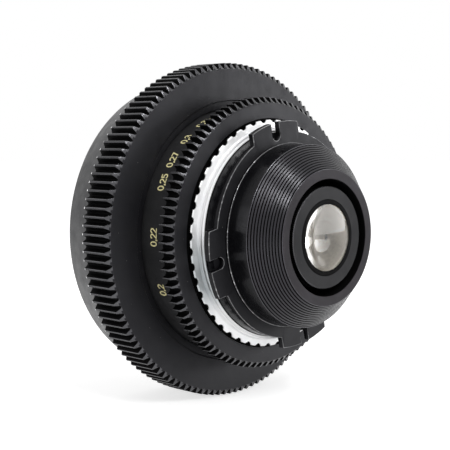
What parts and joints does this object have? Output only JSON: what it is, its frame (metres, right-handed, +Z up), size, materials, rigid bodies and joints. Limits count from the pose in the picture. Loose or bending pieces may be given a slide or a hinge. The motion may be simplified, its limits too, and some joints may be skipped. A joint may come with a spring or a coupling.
{
  "type": "cinema prime lens",
  "caption": "Manual cinema prime lens with geared focus and aperture rings, a four-lug bayonet mount, a helicoid focus and a leaf iris.",
  "frame": {"origin": "on the optical axis, in the seat of the mount flange that meets the camera", "axes": "+Y along the optical axis towards the camera, +Z up, +X to the left seen from the camera"},
  "size_m": [0.104, 0.063, 0.104],
  "materials": {
    "black_anodised": "black anodised aluminium, satin, with bright worn tooth edges",
    "black_matte_metal": "fine matte black against stray light",
    "black_satin_metal": "hard black finish on steel, satin to glossy",
    "silver_anodised": "clear anodised aluminium, finely turned",
    "bare_aluminium": "turned bare aluminium",
    "bare_brass": "turned brass, greased",
    "bare_steel": "ground steel",
    "black_steel": "blackened steel",
    "coated_glass": "polished optical glass with a faint anti-reflection tint"
  },
  "bodies": {
    "mount": {"mount_flange": "black_satin_metal", "rear_cone": "black_matte_metal", "mount_shim": "bare_brass", "fixed_barrel": "bare_aluminium", "barrel_screws": "black_steel", "guide_key": "bare_steel", "focus_stop_pin": "bare_steel"},
    "focus_ring": {"focus_gear_ring": "black_anodised", "focus_grip_ring": "silver_anodised", "helicoid_nut": "bare_brass", "grip_ring_screws": "black_steel", "nut_set_screws": "black_steel"},
    "optical_block": {"optical_barrel": "bare_aluminium", "front_housing": "black_anodised", "housing_screws": "black_steel", "front_trim_ring": "black_anodised", "front_cell": "black_matte_metal", "front_element": "coated_glass", "front_retaining_ring": "black_matte_metal", "inner_cell": "black_matte_metal", "second_element": "coated_glass", "second_retaining_ring": "black_matte_metal", "iris_base": "black_matte_metal", "iris_back_plate": "black_matte_metal", "rear_cell": "black_matte_metal", "rear_cell_screws": "black_steel", "doublet_crown": "coated_glass", "doublet_flint": "coated_glass", "doublet_retaining_ring": "black_matte_metal", "middle_element": "coated_glass", "glass_spacer": "black_matte_metal", "rear_element": "coated_glass", "rear_retaining_ring": "black_matte_metal"},
    "aperture_ring": {"aperture_gear_ring": "black_anodised", "aperture_drive_pin": "bare_steel", "iris_rotor": "bare_brass"},
    "blade_1": {"iris_blade_1": "black_steel"},
    "blade_2": {"iris_blade_2": "black_steel"},
    "blade_3": {"iris_blade_3": "black_steel"},
    "blade_4": {"iris_blade_4": "black_steel"},
    "blade_5": {"iris_blade_5": "black_steel"},
    "blade_6": {"iris_blade_6": "black_steel"},
    "blade_7": {"iris_blade_7": "black_steel"},
    "blade_8": {"iris_blade_8": "black_steel"}
  },
  "joints": [
    {"name": "focus_turn", "type": "hinge", "parent": "mount", "child": "focus_ring", "pos_m": [0, -0.0191, 0], "axis": [0, -1, 0], "range_deg": [0, 142]},
    {"name": "focus_advance", "type": "slide", "parent": "mount", "child": "optical_block", "axis": [0, -1, 0], "range_m": [0, 0.00494]},
    {"name": "aperture_turn", "type": "hinge", "parent": "optical_block", "child": "aperture_ring", "pos_m": [0, -0.035, 0], "axis": [0, 1, 0], "range_deg": [0, 50]},
    {"name": "blade_1_swing", "type": "hinge", "parent": "optical_block", "child": "blade_1", "pos_m": [0.0134, -0.0245, 0], "axis": [0, 1, 0], "range_deg": [0, 31.01]},
    {"name": "blade_2_swing", "type": "hinge", "parent": "optical_block", "child": "blade_2", "pos_m": [0.00948, -0.0245, -0.00948], "axis": [0, 1, 0], "range_deg": [0, 31.01]},
    {"name": "blade_3_swing", "type": "hinge", "parent": "optical_block", "child": "blade_3", "pos_m": [0, -0.0245, -0.0134], "axis": [0, 1, 0], "range_deg": [0, 31.01]},
    {"name": "blade_4_swing", "type": "hinge", "parent": "optical_block", "child": "blade_4", "pos_m": [-0.00948, -0.0245, -0.00948], "axis": [0, 1, 0], "range_deg": [0, 31.01]},
    {"name": "blade_5_swing", "type": "hinge", "parent": "optical_block", "child": "blade_5", "pos_m": [-0.0134, -0.0245, 0], "axis": [0, 1, 0], "range_deg": [0, 31.01]},
    {"name": "blade_6_swing", "type": "hinge", "parent": "optical_block", "child": "blade_6", "pos_m": [-0.00948, -0.0245, 0.00948], "axis": [0, 1, 0], "range_deg": [0, 31.01]},
    {"name": "blade_7_swing", "type": "hinge", "parent": "optical_block", "child": "blade_7", "pos_m": [0, -0.0245, 0.0134], "axis": [0, 1, 0], "range_deg": [0, 31.01]},
    {"name": "blade_8_swing", "type": "hinge", "parent": "optical_block", "child": "blade_8", "pos_m": [0.00948, -0.0245, 0.00948], "axis": [0, 1, 0], "range_deg": [0, 31.01]}
  ],
  "couplings": [
    {"joint": "focus_advance", "follows": "focus_turn", "m_per_rad": 0.0019894},
    {"joint": "blade_1_swing", "follows": "aperture_turn", "ratio": 0.62},
    {"joint": "blade_2_swing", "follows": "aperture_turn", "ratio": 0.62},
    {"joint": "blade_3_swing", "follows": "aperture_turn", "ratio": 0.62},
    {"joint": "blade_4_swing", "follows": "aperture_turn", "ratio": 0.62},
    {"joint": "blade_5_swing", "follows": "aperture_turn", "ratio": 0.62},
    {"joint": "blade_6_swing", "follows": "aperture_turn", "ratio": 0.62},
    {"joint": "blade_7_swing", "follows": "aperture_turn", "ratio": 0.62},
    {"joint": "blade_8_swing", "follows": "aperture_turn", "ratio": 0.62}
  ]
}
